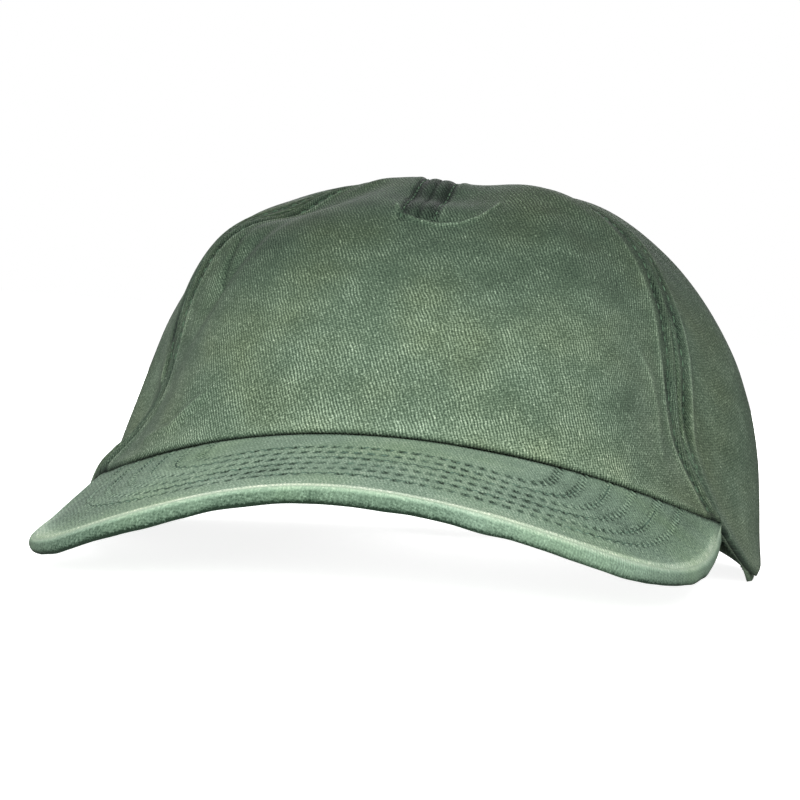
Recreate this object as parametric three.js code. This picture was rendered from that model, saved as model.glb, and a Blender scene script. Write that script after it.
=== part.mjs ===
// A soft cotton cap with a curved peak, standing on its hem. The peak's two corners are just clear of the floor.
// Millimetres, +Z up, the peak towards -Y and the wearer's left towards +X.
// A place on the crown is given by a turn in degrees, 0 at the front and positive to the wearer's left,
// and by a climb from 0 at the hem to 1 at the middle of the top.

import * as THREE from 'three';

const DEG = Math.PI / 180;

// Driving dimensions
const hem = { halfWidth: 88, halfLength: 102.7, clearance: 1.5, fallEnd: 84.5, fallPower: 1.73, backRise: 3 };
const top = { height: 98.6, apexY: 14, dip: 6, dipRadius: 23 };
const cloth = { wall: 1.4, gap: 0.3, seamGap: 0.2 };
const seam = { front: 61.8, side: 122, back: 180 };
const peak = {
  seamHeight: 33.5, bendRadius: 132.3, bendNarrowing: 0.125, pitch: 8.3, reach: 56.9, halfWidth: 76.8, cornerY: -61,
  squarenessRight: 3.9, squarenessLeft: 2.75, liftLeft: 1.7, thickness: 3.8, tuck: 1.4, endTurn: 0.6, edgeRound: 0.9,
};
const opening = { halfWidth: 36, height: 40, hemColumns: 6, archColumns: 9 };
const sweatband = { thickness: 1.2, gap: 0.4, height: 30, belowHem: 1.5, belowPeak: 1.5, endPastOpening: 16 };
const strap = { thickness: 1.3, width: 18, bottom: 7, endPastOpening: 12 };
const buckle = { length: 25, height: 24.6, bar: 2.5, corner: 3, thickness: 1.4, middle: -10, lift: 3.5, liftLength: 4.5 };
const button = { hole: 4.7, radius: 7.6, height: 4.6, peg: 4, pegDepth: 2.6, seat: 0.8 };

// The crown's upright section in each direction, as a Bezier curve from the hem to the top.
// rise: height of the lower handle, lean: how far it leans in, reach: how far out the upper handle lies,
// drop: how far that handle lies below the top. All are shares of the hem radius or of the height.
const SECTIONS = [
  { turn: 0, rise: 0.531, lean: 0.121, reach: 0.611, drop: -0.021 },
  { turn: 35, rise: 0.507, lean: 0.128, reach: 0.701, drop: -0.009 },
  { turn: 62, rise: 0.395, lean: 0.356, reach: 1.061, drop: 0.038 },
  { turn: 90, rise: 0.598, lean: 0.081, reach: 0.671, drop: -0.055 },
  { turn: 120, rise: 0.637, lean: 0.044, reach: 0.658, drop: -0.036 },
  { turn: 150, rise: 0.648, lean: 0.039, reach: 0.637, drop: -0.023 },
  { turn: 180, rise: 0.65, lean: 0.042, reach: 0.616, drop: -0.015 },
];

// Soft dents and bulges of the cloth. depth is outwards in mm, across and along are half widths in mm,
// and slant turns the fold's long side away from the upright, in degrees.
const FOLDS = [
  { name: 'dip at the dart', turn: 3, climb: 0.72, across: 19, along: 9, depth: -4.5, slant: 0 },
  { name: 'ridge under the dart', turn: 2, climb: 0.62, across: 24, along: 9, depth: 2, slant: 0 },
  { name: 'flat shoulder, right', turn: -46, climb: 0.73, across: 22, along: 17, depth: -3.6, slant: 0 },
  { name: 'corner crease, right', turn: -46, climb: 0.45, across: 5, along: 22, depth: -2, slant: 8 },
  { name: 'corner roll, left', turn: 36, climb: 0.6, across: 11, along: 26, depth: 1.5, slant: -8 },
  { name: 'top roll, left', turn: 46, climb: 0.78, across: 13, along: 15, depth: 2.4, slant: 0 },
  { name: 'hem bulge, right', turn: -70, climb: 0.06, across: 12, along: 10, depth: 3, slant: 0 },
  { name: 'hem pinch, left', turn: 92, climb: 0.04, across: 26, along: 14, depth: -1.2, slant: 0 },
  { name: 'side roll, left', turn: 92, climb: 0.3, across: 26, along: 22, depth: 1.4, slant: 0 },
  { name: 'side hollow, right', turn: -98, climb: 0.6, across: 18, along: 18, depth: -2.6, slant: -15 },
  { name: 'back dip, left', turn: 146, climb: 0.62, across: 15, along: 20, depth: -2.6, slant: -10 },
  { name: 'back dip, right', turn: -150, climb: 0.55, across: 15, along: 22, depth: -2.8, slant: 10 },
  { name: 'back roll', turn: 172, climb: 0.5, across: 14, along: 24, depth: 1.6, slant: 0 },
];

// A smooth curve through the rows of a table, level at both ends
function between(rows, key, at) {
  const x = THREE.MathUtils.clamp(at, rows[0].turn, rows[rows.length - 1].turn);
  let i = 0;
  while (i < rows.length - 2 && x > rows[i + 1].turn) i += 1;
  const slope = (k) => {
    if (k === 0 || k === rows.length - 1) return 0;
    return (rows[k + 1][key] - rows[k - 1][key]) / (rows[k + 1].turn - rows[k - 1].turn);
  };
  const span = rows[i + 1].turn - rows[i].turn;
  const s = (x - rows[i].turn) / span;
  const start = rows[i][key] * (1 + 2 * s) * (1 - s) ** 2 + slope(i) * span * s * (1 - s) ** 2;
  const end = rows[i + 1][key] * s * s * (3 - 2 * s) + slope(i + 1) * span * s * s * (s - 1);
  return start + end;
}

// The peak is bent round a lying cylinder, a little tighter towards its edge, and pitched down to the front.
// Its left corner stands a little higher.
function peakHeight(x, y) {
  const forward = THREE.MathUtils.clamp((-y - 48) / 110, 0, 1);
  const bend = peak.bendRadius * (1 - peak.bendNarrowing * forward);
  const sag = bend - Math.sqrt(bend ** 2 - x * x);
  const lift = peak.liftLeft * (Math.max(x, 0) / peak.halfWidth) ** 2 * THREE.MathUtils.smoothstep(-y, 48, 100);
  return peak.seamHeight - sag + Math.tan(peak.pitch * DEG) * (y + hem.halfLength) + lift;
}

function hemPlace(turn) {
  return new THREE.Vector2(hem.halfWidth * Math.sin(turn * DEG), -hem.halfLength * Math.cos(turn * DEG));
}

function hemHeight(turn) {
  const place = hemPlace(Math.min(Math.abs(turn), seam.front) * Math.sign(turn));
  const onPeak = peakHeight(place.x, place.y) + cloth.gap;
  const past = THREE.MathUtils.clamp((Math.abs(turn) - seam.front) / (hem.fallEnd - seam.front), 0, 1);
  const back = hem.backRise * THREE.MathUtils.smoothstep(Math.abs(turn), 115, 165);
  return hem.clearance + back + (onPeak - hem.clearance) * (1 - past) ** hem.fallPower;
}

function smoothPoint(turn, climb) {
  const out = hemPlace(turn).sub(new THREE.Vector2(0, top.apexY));
  const low = hemHeight(turn);
  const form = (key) => between(SECTIONS, key, Math.abs(turn));
  const weights = [(1 - climb) ** 3, 3 * (1 - climb) ** 2 * climb, 3 * (1 - climb) * climb ** 2, climb ** 3];
  const spread = weights[0] + weights[1] * (1 - form('lean')) + weights[2] * form('reach');
  const height = weights[1] * form('rise') + weights[2] * (1 - form('drop')) + weights[3];
  const dip = top.dip * Math.exp(-(((spread * out.length()) / top.dipRadius) ** 2));
  return new THREE.Vector3(out.x * spread, top.apexY + out.y * spread, low + (top.height - low) * height - dip);
}

// Outward direction of the smooth crown
function outward(turn, climb) {
  const step = 0.01;
  const low = Math.max(climb - step, 0);
  const high = Math.min(climb + step, 1 - step);
  const round = smoothPoint(turn + 1, climb).sub(smoothPoint(turn - 1, climb));
  const upward = smoothPoint(turn, high).sub(smoothPoint(turn, Math.min(low, high - step)));
  return round.cross(upward).normalize();
}

// How far the folds push the cloth out at a place on the crown
function foldDepth(turn, climb) {
  const section = 150;
  const radius = 95;
  return FOLDS.reduce((sum, fold) => {
    const across = (turn - fold.turn) * DEG * radius * (1 - climb * climb * 0.6);
    const along = (climb - fold.climb) * section;
    const c = Math.cos(fold.slant * DEG);
    const s = Math.sin(fold.slant * DEG);
    const a = (across * c - along * s) / fold.across;
    const b = (across * s + along * c) / fold.along;
    return sum + fold.depth * Math.exp(-a * a - b * b);
  }, 0);
}

// A point of the crown's cloth, depth mm in from its outer face
function crownPoint(turn, climb, depth, folded = true) {
  const push = (folded ? foldDepth(turn, climb) : 0) - depth;
  return smoothPoint(turn, climb).addScaledVector(outward(turn, climb), push);
}

// The cloth's lower edge is cut level, or rests along the peak
function hemPoint(turn, depth) {
  const point = crownPoint(turn, 0, depth);
  point.z = Math.abs(turn) <= seam.front ? peakHeight(point.x, point.y) + cloth.gap : hemHeight(turn);
  return point;
}

// A closed slab between two grids of points. skirt gives points on the way round its edge, if it is rounded.
function slab(columns, rows, face, backFace, skirt) {
  const positions = [];
  const indices = [];
  const grid = [face, backFace].map((f) => {
    const ids = [];
    for (let i = 0; i <= columns; i += 1) {
      for (let j = 0; j <= rows; j += 1) {
        ids.push(positions.length / 3);
        positions.push(...f(i / columns, j / rows).toArray());
      }
    }
    return ids;
  });
  const at = (side, i, j) => grid[side][i * (rows + 1) + j];
  for (let i = 0; i < columns; i += 1) {
    for (let j = 0; j < rows; j += 1) {
      indices.push(at(0, i, j), at(0, i + 1, j), at(0, i + 1, j + 1), at(0, i, j), at(0, i + 1, j + 1), at(0, i, j + 1));
      indices.push(at(1, i, j), at(1, i + 1, j + 1), at(1, i + 1, j), at(1, i, j), at(1, i, j + 1), at(1, i + 1, j + 1));
    }
  }
  const ring = [];
  for (let i = 0; i < columns; i += 1) ring.push([i, 0]);
  for (let j = 0; j < rows; j += 1) ring.push([columns, j]);
  for (let i = columns; i > 0; i -= 1) ring.push([i, rows]);
  for (let j = rows; j > 0; j -= 1) ring.push([0, j]);
  const loops = [ring.map(([i, j]) => at(0, i, j))];
  if (skirt) {
    loops.push(ring.map(([i, j]) => {
      positions.push(...skirt(i / columns, j / rows).toArray());
      return positions.length / 3 - 1;
    }));
  }
  loops.push(ring.map(([i, j]) => at(1, i, j)));
  for (let k = 0; k + 1 < loops.length; k += 1) {
    for (let i = 0; i < ring.length; i += 1) {
      const n = (i + 1) % ring.length;
      indices.push(loops[k][i], loops[k + 1][i], loops[k + 1][n], loops[k][i], loops[k + 1][n], loops[k][n]);
    }
  }
  const geometry = new THREE.BufferGeometry();
  geometry.setAttribute('position', new THREE.Float32BufferAttribute(positions, 3));
  geometry.setIndex(indices);
  geometry.computeVertexNormals();
  return geometry;
}

const twill = new THREE.MeshStandardMaterial({ color: 0x4b6250, roughness: 0.95 });
const peakTwill = new THREE.MeshStandardMaterial({ color: 0x5d7861, roughness: 0.95 });
const bandTwill = new THREE.MeshStandardMaterial({ color: 0x43584a, roughness: 0.95 });
const brass = new THREE.MeshStandardMaterial({ color: 0x8c7a52, roughness: 0.4, metalness: 1 });

function mesh(name, geometry, material) {
  const made = new THREE.Mesh(geometry, material);
  made.name = name;
  return made;
}

// Where the crown's cloth ends round the button
function lastClimb(turn) {
  const radius = hemPlace(turn).sub(new THREE.Vector2(0, top.apexY)).length();
  return 1 - button.hole / (3 * between(SECTIONS, 'reach', Math.abs(turn)) * radius);
}

// Distance along the hem from the middle of the back, turned into a turn
function turnAtBack(distance) {
  return 180 - distance / (hem.halfWidth * DEG);
}

// The climb at which the back of the crown reaches a height above its hem
function climbAtHeight(turn, height) {
  let low = 0;
  let high = 0.7;
  for (let i = 0; i < 24; i += 1) {
    const middle = (low + high) / 2;
    if (smoothPoint(turn, middle).z - hemHeight(turn) < height) low = middle;
    else high = middle;
  }
  return low;
}

// Lower edge of a back panel: along the hem, then up the arch of the opening
function backEdge(share) {
  const archStart = turnAtBack(opening.halfWidth);
  const hemShare = opening.hemColumns / (opening.hemColumns + opening.archColumns);
  if (share <= hemShare) {
    return { turn: THREE.MathUtils.lerp(seam.side, archStart, share / hemShare), climb: 0 };
  }
  const angle = ((share - hemShare) / (1 - hemShare)) * 90 * DEG;
  const turn = turnAtBack(opening.halfWidth * Math.cos(angle));
  return { turn, climb: climbAtHeight(turn, opening.height * Math.sin(angle)) };
}

// A panel between two seams. Its outer columns are drawn in a little, which leaves the gap at the seam.
function panel(name, from, to, columns, rows, lowerEdge) {
  const side = Math.sign(from + to) || 1;
  const place = (u, v) => {
    const share = side > 0 ? u : 1 - u;
    const upper = { turn: from + (to - from) * u };
    const low = lowerEdge ? lowerEdge(share) : { turn: Math.abs(upper.turn), climb: 0 };
    const lowTurn = lowerEdge ? low.turn * side : upper.turn;
    const turn = THREE.MathUtils.lerp(lowTurn, upper.turn, Math.min(1, v * 2.2));
    return { turn, climb: low.climb + (lastClimb(turn) - low.climb) * v };
  };
  const surface = (depth) => (u, v) => {
    const at = place(u, v);
    const point = at.climb === 0 ? hemPoint(at.turn, depth) : crownPoint(at.turn, at.climb, depth);
    if (u > 0 && u < 1) return point;
    const inner = place(u === 0 ? 1 / columns : 1 - 1 / columns, v);
    const towards = crownPoint(inner.turn, inner.climb, depth).sub(point).normalize();
    return point.addScaledVector(towards, cloth.seamGap / 2 + 0.1);
  };
  return mesh(name, slab(columns, rows, surface(0), surface(cloth.wall)), twill);
}

function crownPanels() {
  const backColumns = opening.hemColumns + opening.archColumns;
  return [
    panel('front_panel', -seam.front, seam.front, 28, 17),
    panel('side_panel_left', seam.front, seam.side, 11, 15),
    panel('side_panel_right', -seam.side, -seam.front, 11, 15),
    panel('back_panel_left', seam.side, seam.back, backColumns, 14, backEdge),
    panel('back_panel_right', -seam.back, -seam.side, backColumns, 14, backEdge),
  ];
}

// The peak's outline is a squared oval in plan; share runs from 0 at the crown to 1 at the outer edge
function peakPlace(across, share) {
  const angle = (across - 0.5) * 180 * DEG;
  const power = 2 / (across > 0.5 ? peak.squarenessLeft : peak.squarenessRight);
  const inner = hemPlace((across - 0.5) * 2 * (seam.front - peak.endTurn));
  const forward = hem.halfLength + peak.reach + peak.cornerY;
  const outer = new THREE.Vector2(
    peak.halfWidth * Math.sign(Math.sin(angle)) * Math.abs(Math.sin(angle)) ** power,
    peak.cornerY - forward * Math.cos(angle) ** power,
  );
  const tuck = inner.clone().sub(outer).normalize().multiplyScalar(peak.tuck);
  return inner.clone().add(tuck).lerp(outer, share);
}

function peakPiece() {
  const columns = 44;
  const rows = 7;
  const face = (drop) => (u, v) => {
    const p = peakPlace(u, v);
    return new THREE.Vector3(p.x, p.y, peakHeight(p.x, p.y) - drop);
  };
  // Half way down, the edge stands out a little, except where it meets the crown
  const skirt = (u, v) => {
    const point = face(peak.thickness / 2)(u, v);
    const middle = new THREE.Vector3(0, peak.cornerY, point.z);
    const out = v === 1 ? 1 : v * v;
    return point.addScaledVector(point.clone().sub(middle).normalize(), peak.edgeRound * out);
  };
  return mesh('peak', slab(columns, rows, face(peak.thickness), face(0), skirt), peakTwill);
}

// The band's lower edge passes under the peak's edge in front and shows a little below the hem behind it
function bandBottom(turn, point) {
  const behind = hemHeight(turn) - sweatband.belowHem;
  const inFront = peakHeight(point.x, point.y) - peak.thickness - sweatband.belowPeak;
  const blend = THREE.MathUtils.smoothstep(Math.abs(turn), seam.front, seam.front + 9);
  return Math.max(0, THREE.MathUtils.lerp(Math.min(inFront, behind), behind, blend));
}

// A strip that follows the inside of the crown, also where that is dented, but not where it bulges
function sweatbandPiece() {
  const end = turnAtBack(sweatband.endPastOpening + opening.halfWidth);
  const surface = (depth) => (u, v) => {
    const turn = (u * 2 - 1) * end;
    const climb = v > 0 ? climbAtHeight(turn, sweatband.height * v) : 0;
    const point = crownPoint(turn, climb, depth + Math.max(0, -foldDepth(turn, climb)), false);
    if (v === 0) point.z = bandBottom(turn, point);
    return point;
  };
  const outer = cloth.wall + sweatband.gap;
  return mesh('sweatband', slab(84, 4, surface(outer), surface(outer + sweatband.thickness)), bandTwill);
}

// A point of the strap: distance round it from the middle of the back, height, and depth in from the crown's face
function strapPoint(distance, height, depth) {
  const turn = turnAtBack(distance);
  return crownPoint(turn, climbAtHeight(turn, height - hemHeight(turn)), depth, false);
}

function strapLift(distance) {
  return buckle.lift * Math.exp(-(((distance - buckle.middle) / buckle.liftLength) ** 4));
}

const strapDepth = cloth.wall + 0.6;

function strapPiece() {
  const half = opening.halfWidth + strap.endPastOpening;
  const surface = (depth) => (u, v) => {
    const distance = half - 2 * half * u;
    return strapPoint(distance, strap.bottom + strap.width * v, depth - strapLift(distance));
  };
  const faces = [surface(strapDepth), surface(strapDepth + strap.thickness)];
  return mesh('strap', slab(60, 2, ...faces), bandTwill);
}

// A flat slide buckle with two slots, bent to the strap's curve. The strap passes over its middle bar.
// It is built from the cells of a lattice, all but those of the two slots.
function bucklePiece() {
  const { length, height, bar, corner, thickness } = buckle;
  const x = length / 2;
  const y = height / 2;
  const lines = [-x, bar - x, bar - x + 2.5, -bar / 2 - 2.5, -bar / 2, bar / 2, bar / 2 + 2.5, x - bar - 2.5, x - bar, x];
  const levels = [-y, bar - y, y - bar, y];
  const inSlot = (i, j) => j === 1 && i !== 0 && i !== 4 && i !== 8;
  const outside = (i, j) => i < 0 || i > 8 || j < 0 || j > 2;
  const middleHeight = strap.bottom + strap.width / 2;
  const place = (i, j, side) => {
    const cut = (i === 0 || i === 9) && (j === 0 || j === 3) ? corner * 0.3 : 0;
    const along = lines[i] - Math.sign(lines[i]) * cut;
    const up = levels[j] - Math.sign(levels[j]) * cut;
    const depth = strapDepth - cloth.gap - thickness * side;
    return strapPoint(buckle.middle - along, middleHeight + up, depth).toArray();
  };
  const positions = [];
  const quad = (...corners) => [0, 1, 2, 0, 2, 3].forEach((k) => positions.push(...place(...corners[k])));
  for (let i = 0; i < 9; i += 1) {
    for (let j = 0; j < 3; j += 1) {
      if (inSlot(i, j)) continue;
      quad([i, j, 1], [i + 1, j, 1], [i + 1, j + 1, 1], [i, j + 1, 1]);
      quad([i, j, 0], [i, j + 1, 0], [i + 1, j + 1, 0], [i + 1, j, 0]);
      const open = (m, n) => outside(m, n) || inSlot(m, n);
      if (open(i, j - 1)) quad([i, j, 0], [i + 1, j, 0], [i + 1, j, 1], [i, j, 1]);
      if (open(i + 1, j)) quad([i + 1, j, 0], [i + 1, j + 1, 0], [i + 1, j + 1, 1], [i + 1, j, 1]);
      if (open(i, j + 1)) quad([i + 1, j + 1, 0], [i, j + 1, 0], [i, j + 1, 1], [i + 1, j + 1, 1]);
      if (open(i - 1, j)) quad([i, j + 1, 0], [i, j, 0], [i, j, 1], [i, j + 1, 1]);
    }
  }
  const geometry = new THREE.BufferGeometry();
  geometry.setAttribute('position', new THREE.Float32BufferAttribute(positions, 3));
  return mesh('buckle', geometry, brass);
}

// A covered button whose peg goes down through the hole where the panels meet
function buttonPiece() {
  const { radius, height, peg, pegDepth, seat } = button;
  const profile = new THREE.Path();
  profile.moveTo(0, -pegDepth);
  profile.lineTo(peg, -pegDepth);
  profile.lineTo(peg, seat);
  profile.lineTo(radius - 0.5, seat + 0.6);
  profile.quadraticCurveTo(radius + 0.3, seat + 1.2, radius - 0.8, seat + 2);
  profile.quadraticCurveTo(radius * 0.6, height, 0, height);
  const points = profile.getPoints(5);
  points[0].x = 0;
  points[points.length - 1].x = 0;
  const geometry = new THREE.LatheGeometry(points, 24);
  geometry.rotateX(Math.PI / 2);
  const piece = mesh('button', geometry, twill);
  piece.position.set(0, top.apexY, top.height - top.dip);
  return piece;
}

const cap = new THREE.Group();
cap.add(...crownPanels(), peakPiece(), sweatbandPiece(), strapPiece(), bucklePiece(), buttonPiece());

// The origin is the middle of the cap's own footprint, on the surface that it stands on
const box = new THREE.Box3().setFromObject(cap, true);
const middle = box.getCenter(new THREE.Vector3());
cap.position.set(0, -middle.y, -box.min.z);

export default cap;
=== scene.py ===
# %% [markdown]
# # A soft cotton cap with a curved peak
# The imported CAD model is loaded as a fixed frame: metres, +Z up, the peak towards -Y. Its solids give
# every piece its place. The cloth that is seen is made here, on the same forms, and stands for them.

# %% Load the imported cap
import math
import bpy
import numpy as np
from mathutils import Matrix, Vector


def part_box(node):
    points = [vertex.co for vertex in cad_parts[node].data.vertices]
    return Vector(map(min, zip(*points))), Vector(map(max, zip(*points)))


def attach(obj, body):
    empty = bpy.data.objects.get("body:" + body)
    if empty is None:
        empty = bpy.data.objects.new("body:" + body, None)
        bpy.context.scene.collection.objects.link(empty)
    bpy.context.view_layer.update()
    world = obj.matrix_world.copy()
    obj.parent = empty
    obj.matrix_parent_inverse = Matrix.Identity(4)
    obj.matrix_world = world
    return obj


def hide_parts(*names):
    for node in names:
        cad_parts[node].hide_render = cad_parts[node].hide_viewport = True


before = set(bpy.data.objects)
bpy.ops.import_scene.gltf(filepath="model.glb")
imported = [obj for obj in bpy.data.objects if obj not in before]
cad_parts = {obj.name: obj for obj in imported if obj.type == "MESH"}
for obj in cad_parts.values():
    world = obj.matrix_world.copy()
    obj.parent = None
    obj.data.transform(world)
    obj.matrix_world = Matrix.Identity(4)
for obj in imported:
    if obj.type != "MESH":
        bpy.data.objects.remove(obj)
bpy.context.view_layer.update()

MM = 0.001
print("CAD nodes:", ", ".join(sorted(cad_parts)))

# %% [markdown]
# ## Camera
# The photograph was taken from about 8 degrees to the wearer's left, nearly level with the cap, with a
# long lens, and it is turned by 4 degrees. A camera could be aimed with a constraint, but a matrix made
# from the three angles says the same in four lines and leaves nothing live in the scene.

# %% Camera
AWAY, ASIDE, ABOVE = 745.144, -10.253, 39.054  # mm from the middle of the hem, along back, right and up
FOCAL_PIXELS, PHOTO_PIXELS, SENSOR_WIDTH = 2833.778, 800, 36
APEX_Y = 14  # mm from the middle of the hem back to the button, which gives the shift to the CAD's frame
azimuth, elevation, roll = math.radians(8.104), math.radians(1.845), math.radians(-4.091)
level = math.cos(elevation)
back = Vector((math.sin(azimuth) * level, -math.cos(azimuth) * level, math.sin(elevation)))
right = Vector((math.cos(azimuth), math.sin(azimuth), 0))
up = back.cross(right)
button_low, button_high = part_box("button")
SHIFT = (button_low.y + button_high.y) / 2 / MM - APEX_Y
camera = bpy.data.objects.new("camera", bpy.data.cameras.new("camera"))
bpy.context.scene.collection.objects.link(camera)
place = (back * AWAY + right * ASIDE + up * ABOVE + Vector((0, SHIFT, 0))) * MM
turned_right = right * math.cos(roll) - up * math.sin(roll)
turned_up = right * math.sin(roll) + up * math.cos(roll)
camera.matrix_world = Matrix.Translation(place) @ Matrix((turned_right, turned_up, back)).transposed().to_4x4()
camera.data.sensor_width = SENSOR_WIDTH
camera.data.lens = FOCAL_PIXELS / PHOTO_PIXELS * SENSOR_WIDTH
camera.data.clip_start = 0.05
bpy.context.scene.camera = camera
print("camera at", [round(v, 4) for v in place], "lens", round(camera.data.lens, 1))

# %% [markdown]
# ## The form of the cap
# The crown is cut from five gores, and soft cloth falls in smooth curves between them. The form could be
# sculpted, but here it follows from a few numbers: an oval hem, an upright section in seven directions,
# and a table of soft folds. A place on the crown is a turn in degrees, 0 at the front and positive to the
# wearer's left, and a climb from 0 at the hem to 1 at the top.

# %% Numbers of the form, in mm
HEM_WIDTH, HEM_LENGTH, CLEARANCE, FALL_END, FALL_POWER, BACK_RISE = 88, 102.7, 1.5, 84.5, 1.73, 5.4
TOP, TOP_DIP, DIP_RADIUS = 98.6, 6, 23
FRONT_SEAM, SIDE_SEAM = 61.8, 122
SEAM_HEIGHT, BEND, BEND_NARROWING, PITCH, REACH = 33.5, 132.3, 0.125, 8.3, 56.9
PEAK_WIDTH, CORNER_Y, SQUARE_RIGHT, SQUARE_LEFT, LIFT_LEFT, PEAK_THICK = 76.8, -61, 3.9, 2.75, 1.7, 3.8
OPEN_HALF, OPEN_HEIGHT = 36, 40
RIGHT_FRONT_DROP, RIGHT_TIP_RISE = 1.25, 0.9  # the peak is bent a little unevenly on the wearer's right
CROWN_RADIUS, CLOTH_UP = 95, 150  # for distances round the crown, and from the hem to the top along the cloth
SECTIONS = np.array([  # turn, rise, lean, reach, drop
    (0, 0.531, 0.121, 0.611, -0.021), (35, 0.507, 0.128, 0.701, -0.009), (62, 0.395, 0.356, 1.061, 0.038),
    (90, 0.598, 0.081, 0.671, -0.055), (120, 0.637, 0.044, 0.658, -0.036), (150, 0.648, 0.039, 0.637, -0.023),
    (180, 0.65, 0.042, 0.616, -0.015)])
FOLDS = [  # turn, climb, half width across, half width along, depth outwards, slant in degrees
    (3, 0.72, 19, 9, -2.3, 0), (2, 0.62, 24, 9, 0.7, 0), (-46, 0.73, 22, 17, -3.6, 0), (-46, 0.45, 5, 22, -2, 8),
    (36, 0.6, 11, 26, 1.5, -8), (46, 0.78, 13, 15, 2.4, 0), (-70, 0.06, 12, 10, 3, 0), (92, 0.04, 26, 14, -1.2, 0),
    (92, 0.3, 26, 22, 1.4, 0), (-98, 0.6, 18, 18, -2.6, -15), (146, 0.62, 15, 20, -2.6, -10),
    (-150, 0.55, 15, 22, -2.8, 10), (172, 0.5, 14, 24, 1.6, 0), (-76, 0.23, 13, 15, -2.9, 0),
    (-66, 0.04, 12, 8, 1.4, 0), (-57, 0.76, 12, 11, -2.6, 0), (-12, 0.86, 20, 9, 0.9, 0), (-32, 0.87, 15, 9, 1.4, 0),
    (70, 0.56, 18, 18, -0.8, 0), (-80, 0.8, 14, 12, -1.6, 0), (-42, 0.83, 7, 8, 1, 0), (-88, 0.22, 16, 16, -1, 0)]


def smoothstep(value, low, high):
    share = np.clip((value - low) / (high - low), 0, 1)
    return share * share * (3 - 2 * share)


def between(column, turn):
    """A smooth curve through one column of the table of sections"""
    turns, values = SECTIONS[:, 0], SECTIONS[:, column]
    slopes = np.zeros(len(turns))
    slopes[1:-1] = (values[2:] - values[:-2]) / (turns[2:] - turns[:-2])
    at = np.clip(np.abs(turn), 0, 180)
    i = np.clip(np.searchsorted(turns, at, side="right") - 1, 0, len(turns) - 2)
    span = turns[i + 1] - turns[i]
    s = (at - turns[i]) / span
    start = values[i] * (1 + 2 * s) * (1 - s) ** 2 + slopes[i] * span * s * (1 - s) ** 2
    return start + values[i + 1] * s * s * (3 - 2 * s) + slopes[i + 1] * span * s * s * (s - 1)


def peak_height(x, y):
    """Height of the peak's upper face: bent round a lying cylinder and pitched down to the front"""
    forward = np.clip((-y - 48) / 110, 0, 1)
    bend = BEND * (1 - BEND_NARROWING * forward)
    lift = LIFT_LEFT * (np.maximum(x, 0) / PEAK_WIDTH) ** 2 * smoothstep(-y, 48, 100)
    lift = lift - RIGHT_FRONT_DROP * np.exp(-(((x + 45) / 28) ** 2)) * smoothstep(-y, 112, 145)
    lift = lift + RIGHT_TIP_RISE * smoothstep(-x, 60, 74) * smoothstep(-y, 92, 118)
    return SEAM_HEIGHT - bend + np.sqrt(bend**2 - x * x) + math.tan(math.radians(PITCH)) * (y + HEM_LENGTH) + lift


def hem_place(turn):
    angle = np.radians(turn)
    return HEM_WIDTH * np.sin(angle), -HEM_LENGTH * np.cos(angle)


def hem_height(turn):
    size = np.abs(turn)
    on_peak = peak_height(*hem_place(np.minimum(size, FRONT_SEAM) * np.sign(turn))) + 0.3
    past = np.clip((size - FRONT_SEAM) / (FALL_END - FRONT_SEAM), 0, 1)
    return CLEARANCE + BACK_RISE * smoothstep(size, 98, 142) + (on_peak - CLEARANCE) * (1 - past) ** FALL_POWER


def smooth_point(turn, climb):
    """A point of the crown without its folds"""
    x, y = hem_place(turn)
    y = y - APEX_Y
    w1, w2, w3 = 3 * (1 - climb) ** 2 * climb, 3 * (1 - climb) * climb**2, climb**3
    spread = (1 - climb) ** 3 + w1 * (1 - between(2, turn)) + w2 * between(3, turn)
    height = w1 * between(1, turn) + w2 * (1 - between(4, turn)) + w3
    dip = TOP_DIP * np.exp(-((spread * np.hypot(x, y) / DIP_RADIUS) ** 2))
    low = hem_height(turn)
    return np.stack([x * spread, APEX_Y + y * spread, low + (TOP - low) * height - dip], axis=-1)


def unit(vectors):
    return vectors / np.maximum(np.linalg.norm(vectors, axis=-1, keepdims=True), 1e-9)


def outward(turn, climb):
    low, high = np.maximum(climb - 0.01, 0), np.minimum(climb + 0.01, 0.99)
    round_it = smooth_point(turn + 1, climb) - smooth_point(turn - 1, climb)
    upward = smooth_point(turn, high) - smooth_point(turn, np.minimum(low, high - 0.01))
    return unit(np.cross(round_it, upward))


def raised(turn, climb, lift):
    """A point that stands lift mm off the smooth crown"""
    return smooth_point(turn, climb) + outward(turn, climb) * np.asarray(lift)[..., None]


def back_turn(distance):
    """The turn at a distance in mm from the middle of the back, which passes 180 to the wearer's right"""
    return 180 - distance / math.radians(HEM_WIDTH)


def wrapped(turn):
    return np.where(turn > 180, turn - 360, turn)


def fold_depth(turn, climb):
    total = 0 * turn
    for fold_turn, fold_climb, wide, tall, depth, slant in FOLDS:
        across = np.radians((turn - fold_turn + 180) % 360 - 180) * CROWN_RADIUS * (1 - climb * climb * 0.6)
        along = (climb - fold_climb) * CLOTH_UP
        c, s = math.cos(math.radians(slant)), math.sin(math.radians(slant))
        beside, ahead = (across * c - along * s) / wide, (across * s + along * c) / tall
        total = total + depth * np.exp(-(beside**2) - ahead**2)
    return total


def climb_at_height(turn, height):
    """The climb at which the back of the crown reaches a height above its hem"""
    low, high = 0 * turn, 0 * turn + 0.7
    for _ in range(24):
        middle = (low + high) / 2
        short = smooth_point(turn, middle)[..., 2] - hem_height(turn) < height
        low, high = np.where(short, middle, low), np.where(short, high, middle)
    return low


def last_climb(turn):
    x, y = hem_place(turn)
    return 1 - 4.7 / (3 * between(3, turn) * np.hypot(x, y - APEX_Y))


print("crown at the front, half way up:", smooth_point(np.array(0.0), np.array(0.5)).round(1), "mm")

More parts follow.
